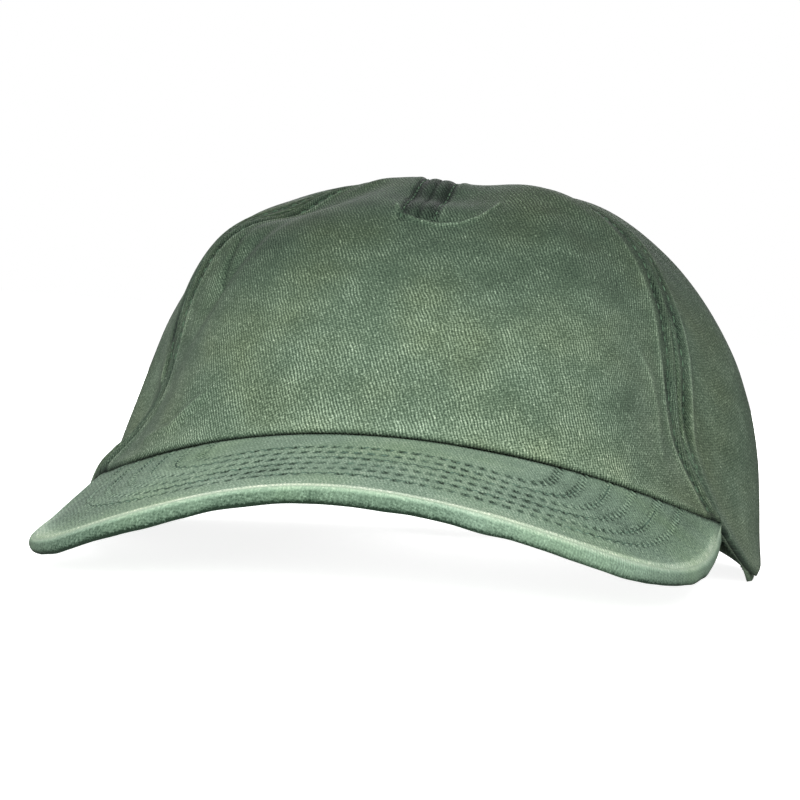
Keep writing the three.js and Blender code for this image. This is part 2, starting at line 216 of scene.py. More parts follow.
# %% [markdown]
# ## Helpers for cloth
# A gore of cloth is a flat sheet that is laid on the form. It could be draped by simulation, but the
# photograph shows exactly where this cloth lies, so a grid is laid there by formula, fine enough for its
# seams and puckers, and Solidify gives it the thickness of the cloth.

# %% Helpers
def unevenness(points, size, seed):
    """Smooth random values between -1 and 1 that change over about size mm"""
    rng = np.random.default_rng(seed)
    values, order = rng.random(4096) * 2 - 1, rng.permutation(4096)
    cell = np.floor(points / size).astype(np.int64)
    share = points / size - cell
    share = share * share * (3 - 2 * share)
    total = np.zeros(points.shape[:-1])
    for steps in np.ndindex(2, 2, 2):
        spot, weight = 0, 1
        for axis, step in enumerate(steps):
            spot = (spot + cell[..., axis] + step) & 4095
            spot = order[spot] if axis < 2 else spot
            weight = weight * (share[..., axis] if step else 1 - share[..., axis])
        total += values[spot] * weight
    return total


def bump(distance, width):
    return np.exp(-((distance / width) ** 2))


def lay_grid(name, columns, rows, lay):
    """Adds a grid and lays it: lay(u, v) gives points in mm, pattern coordinates in mm, and named values"""
    bpy.ops.object.select_all(action="DESELECT")
    bpy.ops.mesh.primitive_grid_add(x_subdivisions=columns, y_subdivisions=rows, size=1)
    piece = bpy.context.object
    piece.name = piece.data.name = name
    mesh = piece.data
    flat = np.zeros(len(mesh.vertices) * 3, np.float32)
    mesh.vertices.foreach_get("co", flat)
    u, v = np.clip(flat.reshape(-1, 3)[:, 0] + 0.5, 0, 1), np.clip(flat.reshape(-1, 3)[:, 1] + 0.5, 0, 1)
    points, pattern, values = lay(u.astype(float), v.astype(float))
    points = (points + np.array([0, SHIFT, 0])) * MM
    mesh.vertices.foreach_set("co", points.astype(np.float32).ravel())
    corners = np.zeros(len(mesh.loops), np.int32)
    mesh.loops.foreach_get("vertex_index", corners)
    mesh.uv_layers[0].data.foreach_set("uv", pattern.astype(np.float32)[corners].ravel())
    for key, amounts in values.items():
        layer = mesh.attributes.new(key, "FLOAT", "POINT")
        layer.data.foreach_set("value", np.asarray(amounts, np.float32).ravel())
    mesh.update()
    return piece


def select_alone(piece):
    bpy.ops.object.select_all(action="DESELECT")
    bpy.context.view_layer.objects.active = piece
    piece.select_set(True)


def apply_modifier(piece, kind, **settings):
    select_alone(piece)
    modifier = piece.modifiers.new(kind.title(), kind)
    for key, value in settings.items():
        setattr(modifier, key, value)
    bpy.ops.object.modifier_apply(modifier=modifier.name)


def merge_doubles(piece, distance=0.00002):
    select_alone(piece)
    bpy.ops.object.mode_set(mode="EDIT")
    bpy.ops.mesh.select_all(action="SELECT")
    bpy.ops.mesh.remove_doubles(threshold=distance)
    bpy.ops.object.mode_set(mode="OBJECT")


def finish(piece, material, slot, *nodes):
    """Smooth shading, the finish, and the place in the CAD model"""
    select_alone(piece)
    bpy.ops.object.shade_smooth()
    piece.data.materials.clear()
    piece.data.materials.append(material)
    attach(piece, "root")
    if nodes:
        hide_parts(*nodes)
    low, high = (np.array([piece.bound_box[i] for i in (0, 6)]) / MM).round(1)
    print(piece.name, len(piece.data.polygons), "faces, from", low, "to", high, "mm")


# %% [markdown]
# ## Washed cotton twill
# Twill weave: each weft thread passes over two or three warp threads, one thread further on in each row,
# which gives the slanting ribs, or wales. Garment washing fades the raised threads and breaks some into
# pale short fibres. A photograph of cloth could be laid on, but it would repeat. Here the ribs follow the
# piece's own pattern in mm, and each piece writes three values on each vertex: paleness, where the cloth is
# rubbed pale and where light is painted on it, shade, painted shade in hollows, creases, seams, under edges
# and on the top and sides, and ribs, how clearly the weave shows. Matt cotton scatters light all ways, so
# it has almost no highlight and only a trace of sheen.

# %% Materials
def linear(hex_colour):
    parts = [int(hex_colour[i : i + 2], 16) / 255 for i in (1, 3, 5)]
    return (*[c / 12.92 if c <= 0.04045 else ((c + 0.055) / 1.055) ** 2.4 for c in parts], 1)


def node(tree, kind, inputs=None, **settings):
    """Adds a node: settings are its own, and inputs are values or sockets that are linked"""
    made = tree.nodes.new(kind)
    for key, value in settings.items():
        setattr(made, key, value)
    for key, value in (inputs or {}).items():
        if isinstance(value, bpy.types.NodeSocket):
            tree.links.new(value, made.inputs[key])
        else:
            made.inputs[key].default_value = value
    return made


def blank_material(name):
    material = bpy.data.materials.new(name)
    material.use_nodes = True
    material.node_tree.nodes.clear()
    return material, material.node_tree


MIDDLE_TONE = 0.42  # the tone of cloth that is neither worn nor shaded


def washed_twill(name, colours, wale, slant, rib=0.4, speck=0.95, cloudy=0.6):
    """Cotton twill, garment washed. wale is the distance between ribs in mm, slant their angle from upright.

    The first five colours go from the darkest, used where shade is painted deepest, to the palest fibre, and the last
    tints the clouds."""
    material, tree = blank_material(name)
    cloth = node(tree, "ShaderNodeUVMap", uv_map="UVMap").outputs[0]
    turned = node(tree, "ShaderNodeMapping", {"Vector": cloth, "Rotation": (0, 0, math.radians(slant))}).outputs[0]
    stretched = node(tree, "ShaderNodeMapping", {"Vector": turned, "Scale": (2.3, 1.5, 1)}).outputs[0]
    fibre = node(tree, "ShaderNodeTexVoronoi", {"Vector": stretched, "Scale": 1.0}, feature="F1")
    parts = node(tree, "ShaderNodeSeparateXYZ", {0: turned})
    value = {"across": parts.outputs[0], "along": parts.outputs[1], "distance": fibre.outputs["Distance"],
             "chance": node(tree, "ShaderNodeSeparateColor", {0: fibre.outputs["Color"]}).outputs[0]}
    for key, scale, detail, roughness in (  # how many changes in a mm: unsteady ribs, fibres, patches, clouds
            ("waver", 0.3, 2.0, 0.5), ("fine", 1.7, 2.0, 0.6),
            ("patchy", 0.12, 3.0, 0.5), ("clouds", 0.035, 3.0, 0.5)):
        inputs = {"Vector": cloth, "Scale": scale, "Detail": detail, "Roughness": roughness}
        value[key] = node(tree, "ShaderNodeTexNoise", inputs).outputs["Fac"]
    for key in ("wear_and_light", "shade", "ribs"):
        value[key] = node(tree, "ShaderNodeAttribute", attribute_name=key).outputs["Fac"]
    steps = (  # what is made, how, and from what
        # the ribs, and the threads that cross them
        ("phase", "MULTIPLY_ADD", "waver", 1.1, "across"),
        ("phase", "MULTIPLY", "phase", 2 * math.pi / wale),
        ("wave", "SINE", "phase"),
        ("phase", "MULTIPLY", "along", 2 * math.pi / (wale * 0.8)),
        ("threads", "SINE", "phase"),
        # pale broken fibres, in half of the cells
        ("near", "SUBTRACT", 0.42, "distance"),
        ("fleck", "SUBTRACT", "chance", 0.5),
        ("fleck", "MULTIPLY", "fleck", "near"),
        ("fleck", "MULTIPLY", "fleck", 6.0),
        ("fleck", "MAXIMUM", "fleck", 0.0),
        ("fleck", "MINIMUM", "fleck", 1.0),
        # the tone: ribs, clearer in some patches, then threads, fibres, patches, clouds and flecks
        ("clear", "MULTIPLY_ADD", "patchy", 1.6, -0.2),
        ("clear", "MULTIPLY", "clear", "ribs"),
        ("clear", "MULTIPLY", "clear", "wave"),
        ("tone", "MULTIPLY_ADD", "clear", rib * 0.5, MIDDLE_TONE),
        ("tone", "MULTIPLY_ADD", "threads", rib * 0.1, "tone"),
        ("grain", "MULTIPLY_ADD", "ribs", 0.4, 0.42),
        ("amount", "MULTIPLY", "grain", speck),
        ("part", "SUBTRACT", "fine", 0.5),
        ("tone", "MULTIPLY_ADD", "part", "amount", "tone"),
        ("part", "SUBTRACT", "patchy", 0.5),
        ("tone", "MULTIPLY_ADD", "part", cloudy * 0.35, "tone"),
        ("part", "SUBTRACT", "clouds", 0.5),
        ("tone", "MULTIPLY_ADD", "part", cloudy * 0.6, "tone"),
        ("amount", "MULTIPLY", "grain", speck * 0.28),
        ("tone", "MULTIPLY_ADD", "fleck", "amount", "tone"),
        # paleness from rubbing and painted light is added, and painted shade is taken away
        ("tone", "ADD", "tone", "wear_and_light"),
        ("tone", "SUBTRACT", "tone", "shade"),
        # where the wash left the cloth greyer
        ("grey", "SUBTRACT", "clouds", 0.42),
        ("grey", "MULTIPLY", "grey", 2.2),
        # the height of threads, ribs and fibres
        ("height", "MULTIPLY", "threads", 0.1),
        ("height", "MULTIPLY_ADD", "wave", 0.32, "height"),
        ("height", "MULTIPLY_ADD", "fine", 1.2, "height"))
    for key, operation, *sources in steps:
        inputs = {place: value.get(source, source) for place, source in enumerate(sources)}
        value[key] = node(tree, "ShaderNodeMath", inputs, operation=operation).outputs[0]
    ramp = node(tree, "ShaderNodeValToRGB", {0: value["tone"]})
    for place, colour in zip((0.12, MIDDLE_TONE, 0.72), colours[1:4]):
        ramp.color_ramp.elements.new(place).color = linear(colour)
    ramp.color_ramp.elements[0].color = linear(colours[0])
    ramp.color_ramp.elements[-1].color = linear(colours[4])
    tinted = node(tree, "ShaderNodeMix", {0: value["grey"], 6: ramp.outputs[0], 7: linear(colours[5])},
                  data_type="RGBA", blend_type="SOFT_LIGHT").outputs[2]
    relief = node(tree, "ShaderNodeBump", {
        "Height": value["height"], "Strength": 0.45, "Distance": 0.00022}).outputs[0]
    shader = node(tree, "ShaderNodeBsdfPrincipled", {
        "Base Color": tinted, "Roughness": 0.92, "Normal": relief, "Sheen Weight": 0.02, "Sheen Roughness": 0.6,
        "Specular IOR Level": 0.05})
    node(tree, "ShaderNodeOutputMaterial", {"Surface": shader.outputs[0]})
    return material


# The ribs are 0.75 mm apart, as counted on the photograph. The peak's cloth has paler colours than the crown's.
GREENS = ("#121e16", "#28352b", "#4a5b4a", "#879984", "#c8d2be", "#857f6c")
crown_twill = washed_twill("washed dark green cotton twill", GREENS, 0.75, -21)
PALE_GREENS = ("#1c2b20", "#46594a", "#7d9480", "#b1c2ac", "#e6ebd9", "#8b917c")
peak_twill = washed_twill("washed cotton twill over the peak board", PALE_GREENS, 0.75, -16, rib=0.18, speck=1.1)
band_twill = washed_twill("washed cotton twill of the bands", GREENS, 0.6, 40)
print("cloth materials:", crown_twill.name, "|", peak_twill.name, "|", band_twill.name)


def cotton_thread(name, colours):
    """Spun cotton sewing thread, dyed and washed with the cap: matt, a little uneven along its length"""
    material, tree = blank_material(name)
    place = node(tree, "ShaderNodeTexCoord").outputs["Object"]
    uneven = node(tree, "ShaderNodeTexNoise", {"Vector": place, "Scale": 700.0, "Detail": 2.0}).outputs["Fac"]
    ramp = node(tree, "ShaderNodeValToRGB", {0: uneven})
    ramp.color_ramp.elements[0].position, ramp.color_ramp.elements[1].position = 0.35, 0.65
    ramp.color_ramp.elements[0].color, ramp.color_ramp.elements[1].color = linear(colours[0]), linear(colours[1])
    relief = node(tree, "ShaderNodeBump", {"Height": uneven, "Strength": 0.5, "Distance": 0.0001}).outputs[0]
    shader = node(tree, "ShaderNodeBsdfPrincipled", {
        "Base Color": ramp.outputs[0], "Roughness": 0.85, "Normal": relief, "Specular IOR Level": 0.2})
    node(tree, "ShaderNodeOutputMaterial", {"Surface": shader.outputs[0]})
    return material


seam_thread = cotton_thread("green cotton thread", ("#2a3b2e", "#4a624d"))
peak_thread = cotton_thread("dark green cotton thread", ("#2d3d32", "#52695a"))

# %% [markdown]
# ## Sewing
# A lockstitch shows as a row of short thread lengths that dip into the cloth at both ends. One stitch is
# modelled: a thin cylinder with six sides, thicker in its middle. It is copied along each row, one mesh
# for each group of rows, because a row of real threads casts its small shadows from every side.

# %% One stitch, and rows of it
STITCH_PITCH, STITCH_LENGTH, THREAD_RADIUS = 3.0, 2.3, 0.24
bpy.ops.object.select_all(action="DESELECT")
bpy.ops.mesh.primitive_cylinder_add(vertices=6, radius=THREAD_RADIUS, depth=STITCH_LENGTH, end_fill_type="TRIFAN",
                                    rotation=(0, math.pi / 2, 0))
one_stitch = bpy.context.object
bpy.ops.object.transform_apply(location=False, rotation=True, scale=False)
bpy.ops.object.mode_set(mode="EDIT")
for cut in (-0.75, 0.0, 0.75):
    bpy.ops.mesh.select_all(action="SELECT")
    bpy.ops.mesh.bisect(plane_co=(cut, 0, 0), plane_no=(1, 0, 0))
bpy.ops.object.mode_set(mode="OBJECT")
stitch_points = np.array([vertex.co[:] for vertex in one_stitch.data.vertices])
stitch_faces = [list(face.vertices) for face in one_stitch.data.polygons]
towards_end = np.abs(stitch_points[:, 0]) / (STITCH_LENGTH / 2)
stitch_points[:, 1:] *= (1 - 0.45 * towards_end**2)[:, None]
stitch_points[:, 2] -= 0.35 * towards_end**3
bpy.data.objects.remove(one_stitch)
print("one stitch has", len(stitch_faces), "faces")


def place_on(line, run, at):
    return np.array([np.interp(at, run, line[:, k]) for k in range(3)])


def sew(name, rows, material, slot, pitch=STITCH_PITCH):
    """Rows of stitches. Each row is a list of points in mm and of outward directions there."""
    all_points, all_faces, count = [], [], 0
    for points, directions in rows:
        run = np.concatenate([[0], np.cumsum(np.linalg.norm(np.diff(points, axis=0), axis=1))])
        middles = np.arange(pitch / 2, run[-1] - pitch / 3, pitch)
        for middle in middles:
            centre, out = place_on(points, run, middle), place_on(directions, run, middle)
            along = unit(place_on(points, run, middle + 0.9) - place_on(points, run, middle - 0.9))
            side = unit(np.cross(out, along))
            out = np.cross(along, side)
            placed = centre + out * 0.08 + stitch_points @ np.stack([along, side, out])
            all_points.append(placed)
            all_faces += [[i + count for i in face] for face in stitch_faces]
            count += len(stitch_points)
    mesh = bpy.data.meshes.new(name)
    placed = (np.concatenate(all_points) + np.array([0, SHIFT, 0])) * MM
    mesh.from_pydata(placed.tolist(), [], all_faces)
    piece = bpy.data.objects.new(name, mesh)
    bpy.context.scene.collection.objects.link(piece)
    finish(piece, material, slot)
    return piece


# %% [markdown]
# ## Crown panels
# The five gores meet in seams that are pressed open and topstitched on both sides. The allowance inside
# lifts a soft ridge about 6 mm from the seam, which wears pale, and the stitching draws a puckered channel
# beside it. The seams of the front wander a little where the cloth is pinched at the ends of the peak.
# Displacing with a texture could do this, but here each feature has its own measured distance from a seam.

# %% Where the seams run
WANDER = {  # climb, degrees away from the front
    1: ((0, 0), (0.05, 1.0), (0.12, -0.4), (0.17, -2.2), (0.26, -1.4), (0.4, 0), (0.6, 2.2), (0.72, 2.6), (1, 0)),
    -1: ((0, 0), (0.05, -0.5), (0.11, -2.5), (0.16, -6.2), (0.2, -5.5), (0.27, -2.6), (0.4, 0), (1, 0))}
SEAMS = (-180, -SIDE_SEAM, -FRONT_SEAM, FRONT_SEAM, SIDE_SEAM, 180)


def seam_turn(seam, climb):
    """The turn of a seam at a climb. Only the two front seams wander."""
    if abs(abs(seam) - FRONT_SEAM) > 1:
        return seam + 0 * climb
    side = 1 if seam > 0 else -1
    steps, degrees = np.array(WANDER[side]).T
    soft = sum(np.interp(climb + shift, steps, degrees) for shift in (-0.03, -0.015, 0, 0.015, 0.03)) / 5
    return seam + side * soft * smoothstep(climb, 0, 0.03)


def mm_per_degree(turn, climb):
    return np.linalg.norm(smooth_point(turn + 0.5, climb) - smooth_point(turn - 0.5, climb), axis=-1)


def cloth_pattern(turn, climb, middle):
    """Distance from the panel's middle line and from the hem, measured along the cloth, in mm"""
    across, along = 0 * turn, 0 * turn
    for k in range(6):
        across = across + mm_per_degree(middle + (turn - middle) * (k + 0.5) / 6, climb) * (turn - middle) / 6
    last = smooth_point(turn, 0 * climb)
    for k in range(1, 13):
        following = smooth_point(turn, climb * k / 12)
        along = along + np.linalg.norm(following - last, axis=-1)
        last = following
    return np.stack([across, along], axis=-1)


# %% The relief of seams, stitching and creases
CREASES = [  # points as turn and climb; half width in mm, height outwards, painted highlight along the fold, painted shade in it
    (((-9, 0.63), (-5.5, 0.588), (-0.5, 0.569), (4.2, 0.558), (9.8, 0.569), (15, 0.602), (22.8, 0.688)),
     0.7, 0.7, 0.24, 0),
    (((-52.5, 0.6), (-50, 0.537), (-48, 0.447), (-43.2, 0.35)), 1.0, -0.6, 0, 0.14),
    (((-46.2, 0.053), (-39, 0.057), (-35.8, 0.087), (-33, 0.11)), 1.6, 0.7, 0.05, 0),
    (((49, 0.335), (51, 0.294), (51.5, 0.22), (50, 0.12)), 1.6, 0.25, 0.08, 0)]
DENTS = [  # turn, climb, half width across and along in mm, depth, painted shade in the dent
    (-66.0, 0.37, 2.4, 7.0, -1.1, 0.55), (-61.5, 0.26, 2.0, 11, -1.3, 0.32), (57.5, 0.3, 1.6, 8, -0.7, 0.12),
    (64.5, 0.52, 1.6, 9, -0.8, 0.12), (60.5, 0.55, 1.5, 7, -0.7, 0.12), (62.5, 0.24, 1.5, 7, -0.6, 0.1)]
DART_MIDDLE, DART_END, DART_SEWN, DART_RIDGE = -2.6, 0.575, 4.2, 5.6
SEWN_AWAY, RIDGE_AWAY = 4.1, 7.3  # mm from a seam to its stitching and to the edge of the allowance inside
FRONT_MM_PER_DEGREE = 1.45


def near_line(turn, climb, line):
    """Distance in mm from a place on the crown to a line of places"""
    scale = np.array([FRONT_MM_PER_DEGREE, CLOTH_UP])
    here = np.stack([turn, climb], axis=-1) * scale
    nearest = np.full(np.shape(turn), 1e9)
    for start, end in zip(np.array(line[:-1]) * scale, np.array(line[1:]) * scale):
        span = end - start
        share = np.clip(((here - start) @ span) / (span @ span), 0, 1)
        nearest = np.minimum(nearest, np.linalg.norm(here - start - share[..., None] * span, axis=-1))
    return nearest


def stitched(run):
    """1 in the middle of each stitch, 0 where the thread goes down"""
    return 0.5 + 0.5 * np.cos(2 * math.pi * (run / STITCH_PITCH - 0.5))


def seam_relief(d, run, number, rows=SEWN_AWAY, ridge=RIDGE_AWAY):
    """Lift, paleness and painted shade beside a topstitched seam, d mm from it"""
    spot = np.stack([run, 0 * run + 40 * number, 0 * run], axis=-1)
    dent = np.clip(0.5 + 0.7 * unevenness(spot, 11, 11) + 0.08 * unevenness(spot, 5, 12), 0, 1)
    ridgy = np.clip(0.8 + 0.4 * unevenness(spot, 13, 13), 0.3, 1.2)
    lift = -0.4 * bump(d, 0.35) + 0.18 * bump(d - 1.7, 1.2) - (0.15 + 0.5 * dent) * bump(d - rows, 1.3)
    lift += 0.38 * ridgy * bump(d - ridge, 1.3) - 0.06 * bump(d - rows, 0.5) * stitched(run)
    wear_and_light = 0.2 * ridgy * bump(d - ridge, 0.6) + 0.04 * bump(d - 1.5, 0.9)
    # painted shade: a dark line in the seam's groove, a darker puckered channel by the stitching, deepest in its
    # dents, and a darker strip inside the ridge
    shade = 0.16 * bump(d, 0.35) + (0.06 + 0.18 * dent) * bump(d - rows, 1.5)
    return np.stack([lift, wear_and_light, shade + 0.05 * (1 - smoothstep(d, ridge - 2, ridge))])


def dart_turn(climb):
    """The turn of the dart's middle, which leans a little as it climbs"""
    return DART_MIDDLE + (0.8 - climb) * 6


def crown_relief(turn, climb):
    """Lift, paleness and painted shade at a place on the crown"""
    base = smooth_point(turn, climb)
    speed = mm_per_degree(turn, climb)
    run = climb * CLOTH_UP
    marks = np.stack([0.45 * unevenness(base, 26, 3) + 0.16 * unevenness(base, 10, 4), 0 * turn, 0 * turn])
    near_top = smoothstep(np.hypot(base[..., 0], base[..., 1] - APEX_Y), 5, 16)
    for number, seam in enumerate(SEAMS):
        offset = (turn - seam_turn(seam, climb)) * speed
        ridge = RIDGE_AWAY + 1.1 * ((offset < 0) & (seam == FRONT_SEAM))
        marks += near_top * seam_relief(np.abs(offset), run, number + 10 * (offset > 0), ridge=ridge)
    offset = np.abs(turn - dart_turn(climb)) * speed
    in_dart = smoothstep(climb, DART_END - 0.015, DART_END + 0.015) * smoothstep(0.97 - climb, 0, 0.1)
    marks += in_dart * seam_relief(offset, run, 8, DART_SEWN, DART_RIDGE)
    # painted shade: the strip inside the dart is darker, where the top sinks
    marks[2] += in_dart * 0.1 * (1 - smoothstep(offset, 4.6, 6.4))
    # each crease gets a painted highlight along its fold and painted shade in it
    for line, wide, height, wear_and_highlight, dark in CREASES:
        d = near_line(turn, climb, line)
        marks += np.stack([height * bump(d, wide), wear_and_highlight * bump(d, wide * 0.6), dark * bump(d, wide * 0.8)])
    # each dent gets painted shade
    for dent_turn, dent_climb, wide, tall, depth, dark in DENTS:
        amount = bump((turn - dent_turn) * speed, wide) * bump((climb - dent_climb) * CLOTH_UP, tall)
        marks += np.stack([depth * amount, 0 * amount, dark * amount])
    on_top, at_side = smoothstep(base[..., 2], 55, 95), smoothstep(np.abs(turn), 35, 75)
    low_left = bump(turn - 76, 14) * bump(climb, 0.12)
    low_right = bump(turn + 76, 9) * bump(climb - 0.26, 0.2)
    high_right = bump(turn + 36, 16) * bump(climb - 0.5, 0.14)
    # painted light: the lower side on the wearer's left, and a patch low on the wearer's right, are made paler
    marks[1] += 0.12 * (low_left + low_right)
    # painted shade: the top is darker, the sides below it too, and a patch half way up the front to the wearer's
    # right
    marks[2] += 0.15 * on_top + 0.06 * (high_right + at_side * (1 - on_top))
    return marks


HEM_ROLL, CLOTH_THICK = 0.9, 1.3


def crown_point(turn, climb):
    """A point of the cloth. Its lower edge is cut level, or rolls in where it meets the peak."""
    lift, wear_and_light, shade = crown_relief(turn, climb)
    from_hem = climb * CLOTH_UP
    lift = lift * smoothstep(from_hem, 0, 4) - HEM_ROLL * bump(from_hem, 0.8)
    point = raised(turn, climb, fold_depth(turn, climb) + lift)
    foot = 0 * climb
    at_hem = raised(turn, foot, fold_depth(turn, foot) - HEM_ROLL)
    on_peak = peak_height(at_hem[..., 0], at_hem[..., 1]) + 0.25
    cut = np.where(np.abs(turn) <= FRONT_SEAM, on_peak, hem_height(turn))
    point[..., 2] += (cut - at_hem[..., 2]) * np.clip(1 - climb / 0.05, 0, 1) ** 2
    at_front = 1 - smoothstep(np.abs(turn), 45, 62)
    wear_and_light = wear_and_light + 0.05 * bump(from_hem - 3, 1.5) * (np.abs(turn) > FRONT_SEAM)
    # painted light: the front just above the peak is made paler
    wear_and_light = wear_and_light + 0.07 * at_front * bump(from_hem - 2, 5)
    # painted shade: a dark band along the hem's rolled lower edge
    return point, wear_and_light, shade + 0.3 * bump(from_hem, 0.8)


def back_edge(share):
    """Lower edge of a back panel: along the hem, then up the arch of the opening"""
    arch_start = back_turn(OPEN_HALF)
    angle = np.clip((share - 0.4) / 0.6, 0, 1) * math.pi / 2
    arch_turn = back_turn(OPEN_HALF * np.cos(angle))
    turn = np.where(share <= 0.4, SIDE_SEAM + (arch_start - SIDE_SEAM) * share / 0.4, arch_turn)
    climb = np.where(share <= 0.4, 0, climb_at_height(arch_turn, OPEN_HEIGHT * np.sin(angle)))
    return turn, climb


# %% The five panels
def panel(name, start, end, columns, rows, open_back=False):
    side = 1 if start + end > 0 else -1

    def lay(u, v):
        first, last = seam_turn(start, v * 0.95), seam_turn(end, v * 0.95)
        upper = first + 0.08 + (last - first - 0.16) * u
        low_turn, low_climb = upper, 0 * u
        if open_back:
            low_turn, low_climb = back_edge(u if side > 0 else 1 - u)
            low_turn = low_turn * side
        share = np.minimum(1, v * 2.2)
        turn = low_turn + (upper - low_turn) * share
        climb = low_climb + (last_climb(turn) - low_climb) * v
        point, wear_and_light, shade = crown_point(turn, climb)
        ribs = 0.8 + 0.2 * bump(climb * CLOTH_UP, 30) * (1 - smoothstep(np.abs(turn), 50, 75))
        pattern = cloth_pattern(turn, climb, (start + end) / 2) + 300
        return point, pattern, {"wear_and_light": wear_and_light, "shade": shade, "ribs": ribs}

    piece = lay_grid(name, columns, rows, lay)
    apply_modifier(piece, "SOLIDIFY", thickness=CLOTH_THICK * MM, offset=-1)
    return piece


PANELS = (  # name, from turn, to turn, columns, rows
    ("front_panel", -FRONT_SEAM, FRONT_SEAM, 250, 190),
    ("side_panel_left", FRONT_SEAM, SIDE_SEAM, 150, 180),
    ("back_panel_left", SIDE_SEAM, 180, 160, 160),
    ("side_panel_right", -SIDE_SEAM, -FRONT_SEAM, 150, 180),
    ("back_panel_right", -180, -SIDE_SEAM, 160, 160))
for name, *layout in PANELS:
    gore = panel(f"{name}_cloth", *layout, open_back=name.startswith("back"))
    finish(gore, crown_twill, "crown_twill", name)


# %% Topstitching of the crown
def crown_row(seam, offset, start, end):
    climb = np.linspace(start, end, 160)
    turn = seam_turn(seam, climb) + offset / mm_per_degree(seam + 0 * climb, climb)
    return crown_point(turn, climb)[0], outward(turn, climb)


SEWN_TO = 0.93  # the climb where the rows end, under the button
rows = [crown_row(seam, offset, 0.02, SEWN_TO) for seam in SEAMS[1:-1] for offset in (-SEWN_AWAY, SEWN_AWAY)]
arch_top = float(climb_at_height(np.array(180.0), float(OPEN_HEIGHT)))
rows += [crown_row(seam, offset, arch_top + 0.01, SEWN_TO) for seam, offset in ((180, -SEWN_AWAY), (-180, SEWN_AWAY))]
sew("crown_topstitching", rows, seam_thread, "crown_twill")


def dart_row(offset):
    climb = np.linspace(DART_END, 0.92, 80)
    turn = dart_turn(climb) + offset / mm_per_degree(0 * climb, climb)
    return crown_point(turn, climb)[0], outward(turn, climb)


sew("dart_topstitching", [dart_row(-DART_SEWN), dart_row(DART_SEWN)], seam_thread, "crown_twill")

# %% [markdown]
# ## Peak
# A stiff board is covered with cloth above and below. The two covers meet in a seam along the outer edge,
# which rolls under, and its upper ridge is rubbed almost white. Six rows of stitches run parallel to the
# edge. Each stitch presses a short hollow into the cloth, darkened with painted shade. A board could be cut
# and bent from a plane, but the same curved-board formula as in the CAD places a closed skin of cloth at once.

# %% The peak's outline and its stitch rows
ROWS = np.array([  # row, half width, front, squareness
    (-2, 24.3, 37.3, 14), (1, 40.5, 55.0, 10), (2, 46.2, 60.9, 7.4), (3, 51.8, 66.8, 5.8), (4, 56.8, 72.7, 4.7),
    (5, 62.6, 78.6, 4.0), (6, 67.4, 84.5, 3.5), (8, 77, 96.3, 2.9)])
ROW_GAP, RIDGE_HEIGHT, RIDGE_IN = 5.6, 0.4, 1.4
PEAK_IN = FRONT_SEAM - 0.6


def round_edge(t, wide, deep, squareness):
    """Plan points of a curve with full corners, t from -90 degrees at the right to 90 degrees at the left"""
    x = wide * np.sign(t) * np.abs(np.sin(t)) ** (2 / squareness)
    return x, CORNER_Y - deep * np.abs(np.cos(t)) ** (2 / squareness)


def distance_along(x, y):
    return np.concatenate([[0], np.cumsum(np.hypot(np.diff(x), np.diff(y)))])


def outline(share):
    """The peak's edge in plan, from the wearer's right corner at 0 round the front to the left corner at 1"""
    t = np.linspace(-math.pi / 2, math.pi / 2, 4001)
    x, y = round_edge(t, PEAK_WIDTH, HEM_LENGTH + REACH + CORNER_Y, np.where(t > 0, SQUARE_LEFT, SQUARE_RIGHT))
    end_x, end_y = hem_place(PEAK_IN)
    x, y = np.concatenate([[-end_x], x, [end_x]]), np.concatenate([[end_y], y, [end_y]])
    run = distance_along(x, y)
    at = share * run[-1]
    return np.interp(at, run, x), np.interp(at, run, y), at


def row_shape(row):
    """Half width, front and squareness of a row"""
    return [np.interp(row, ROWS[:, 0], ROWS[:, k]) for k in (1, 2, 3)]


def row_curve(row):
    """Plan points of a stitch row, and the distance along it from the middle of the front"""
    x, y = round_edge(np.linspace(-math.pi / 2, math.pi / 2, 1601), *row_shape(row))
    tail = np.linspace(30, 0.5, 30)
    x = np.concatenate([0 * tail + x[0], x, 0 * tail + x[-1]])
    y = np.concatenate([CORNER_Y + tail, y, CORNER_Y + tail[::-1]])
    run = distance_along(x, y)
    return x, y, run - np.interp(0, x[30:-30], run[30:-30])


def nearest_row(x, y):
    """Which row a place lies on, as a number with its part between two rows"""
    low, high = 0 * x - 2, 0 * x + 8
    for _ in range(22):
        middle = (low + high) / 2
        wide, deep, square = row_shape(middle)
        size = (np.abs(x) / wide) ** square + (np.maximum(CORNER_Y - y, 0) / deep) ** square
        low, high = np.where(size > 1, middle, low), np.where(size > 1, high, middle)
    return (low + high) / 2


row_runs = [row_curve(row) for row in range(1, 7)]


def along_row(x, y, row):
    """Distance along the row from the middle of the front, by direction from the middle of the peak"""
    run, middle_y = 0 * x, CORNER_Y + 30
    for number, (row_x, row_y, row_run) in enumerate(row_runs, start=1):
        on_row = np.interp(np.arctan2(x, middle_y - y), np.arctan2(row_x, middle_y - row_y), row_run)
        run = np.where(np.abs(row - number) <= 0.5, on_row, run)
    return run


